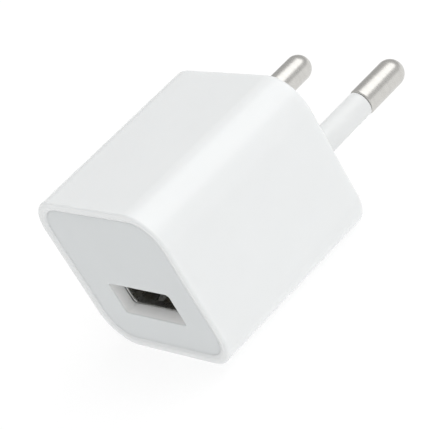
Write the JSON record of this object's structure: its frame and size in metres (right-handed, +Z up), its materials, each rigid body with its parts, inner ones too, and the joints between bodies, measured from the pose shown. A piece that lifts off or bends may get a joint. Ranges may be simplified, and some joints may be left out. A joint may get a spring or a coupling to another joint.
{
  "type": "usb wall charger",
  "caption": "Small white cube mains charger with round sleeved pins at one end and a recessed USB type A socket in the panel at the other.",
  "frame": {"origin": "centre of the rear face, midway between the two mains pins, on the plane that meets the wall socket", "axes": "+Y points out of the rear face along the pins, into the wall; the USB socket faces -Y; +X runs from the left pin to the right pin; +Z is up, away from the side that the USB socket is nearer to"},
  "size_m": [0.0272, 0.0472, 0.0252],
  "materials": {
    "case_plastic": "polished white polycarbonate",
    "panel_plastic": "smooth white polycarbonate, a little less polished than the case",
    "sleeve_plastic": "satin white insulating plastic",
    "pin_nickel": "satin nickel plate on brass",
    "shield_steel": "tinned steel sheet",
    "contact_gold": "gold plated copper alloy strip",
    "bronze": "bare phosphor bronze strip",
    "black_moulding": "black moulded plastic",
    "board_laminate": "green solder mask on glass laminate",
    "insulating_film": "pale folded polyester film",
    "ferrite": "dark grey sintered ferrite",
    "copper_wire": "enamelled copper wire",
    "yellow_tape": "yellow polyester tape",
    "capacitor_sleeve": "dark shrink sleeve over an aluminium can",
    "aluminium_can": "bare drawn aluminium can",
    "bung_rubber": "black rubber seal",
    "blue_lacquer": "blue dipped lacquer",
    "resistor_lacquer": "green cement coating",
    "package_epoxy": "black moulded epoxy",
    "chip_ceramic": "tan fired ceramic",
    "resistor_glaze": "black glazed resistor face"
  },
  "bodies": {
    "charger": {"case_shell": "case_plastic", "front_panel": "panel_plastic", "pin_left": "pin_nickel", "pin_sleeve_left": "sleeve_plastic", "pin_contact_left": "bronze", "pin_right": "pin_nickel", "pin_sleeve_right": "sleeve_plastic", "pin_contact_right": "bronze", "main_board": "board_laminate", "usb_board": "board_laminate", "insulating_sheet": "insulating_film", "usb_shield": "shield_steel", "usb_insulator": "black_moulding", "usb_terminal_1": "contact_gold", "usb_terminal_2": "contact_gold", "usb_terminal_3": "contact_gold", "usb_terminal_4": "contact_gold", "transformer_core_top": "ferrite", "transformer_core_bottom": "ferrite", "transformer_bobbin": "black_moulding", "transformer_winding": "copper_wire", "transformer_tape": "yellow_tape", "input_capacitor_can": "capacitor_sleeve", "input_capacitor_bung": "bung_rubber", "output_capacitor_1": "aluminium_can", "output_capacitor_2": "aluminium_can", "y_capacitor": "blue_lacquer", "fuse_resistor": "resistor_lacquer", "choke_core": "ferrite", "choke_winding": "copper_wire", "bridge_rectifier": "package_epoxy", "controller_chip": "package_epoxy", "output_diode": "package_epoxy", "chip_resistor_1": "resistor_glaze", "chip_resistor_2": "resistor_glaze", "chip_capacitor_1": "chip_ceramic", "chip_capacitor_2": "chip_ceramic"},
    "contact_1": {"usb_contact_1": "contact_gold"},
    "contact_2": {"usb_contact_2": "contact_gold"},
    "contact_3": {"usb_contact_3": "contact_gold"},
    "contact_4": {"usb_contact_4": "contact_gold"}
  },
  "joints": [
    {"name": "contact_1_flex", "type": "hinge", "parent": "charger", "child": "contact_1", "pos_m": [-0.0035, -0.016, -0.00295], "axis": [-1, 0, 0], "range_deg": [0, 5], "stiffness_Nm_per_rad": 0.07},
    {"name": "contact_2_flex", "type": "hinge", "parent": "charger", "child": "contact_2", "pos_m": [-0.001, -0.016, -0.00295], "axis": [-1, 0, 0], "range_deg": [0, 5], "stiffness_Nm_per_rad": 0.07},
    {"name": "contact_3_flex", "type": "hinge", "parent": "charger", "child": "contact_3", "pos_m": [0.001, -0.016, -0.00295], "axis": [-1, 0, 0], "range_deg": [0, 5], "stiffness_Nm_per_rad": 0.07},
    {"name": "contact_4_flex", "type": "hinge", "parent": "charger", "child": "contact_4", "pos_m": [0.0035, -0.016, -0.00295], "axis": [-1, 0, 0], "range_deg": [0, 5], "stiffness_Nm_per_rad": 0.07}
  ]
}
